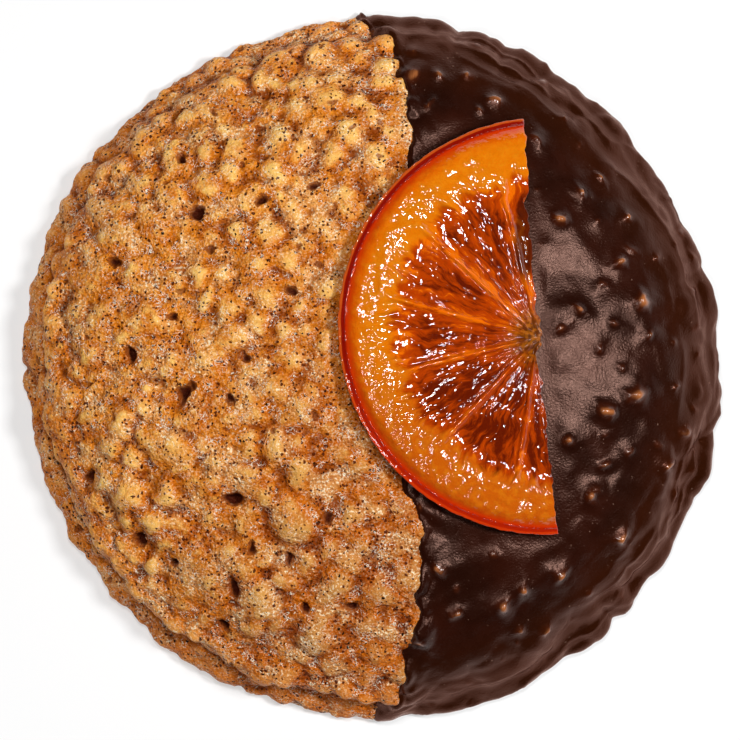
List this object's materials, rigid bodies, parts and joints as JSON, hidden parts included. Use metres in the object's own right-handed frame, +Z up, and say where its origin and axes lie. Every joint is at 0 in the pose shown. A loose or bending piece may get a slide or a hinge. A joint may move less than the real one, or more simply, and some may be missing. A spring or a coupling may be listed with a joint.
{
  "type": "lebkuchen",
  "caption": "Round domed lebkuchen with a nubbly baked top, half dipped in dark chocolate and topped with a half slice of candied orange.",
  "frame": {"origin": "on the flat underside, below the middle of the outline", "axes": "+Z up out of the domed top, +X towards the chocolate side, +Y along the cut of the orange slice"},
  "size_m": [0.0907, 0.0914, 0.0224],
  "materials": {
    "biscuit": "matte baked crumb, spice-flecked",
    "chocolate": "satin dark chocolate",
    "candied_orange": "wet sugar glaze over translucent fruit"
  },
  "bodies": {
    "root": {"biscuit": "biscuit", "chocolate": "chocolate", "orange_slice": "candied_orange"}
  },
  "joints": []
}
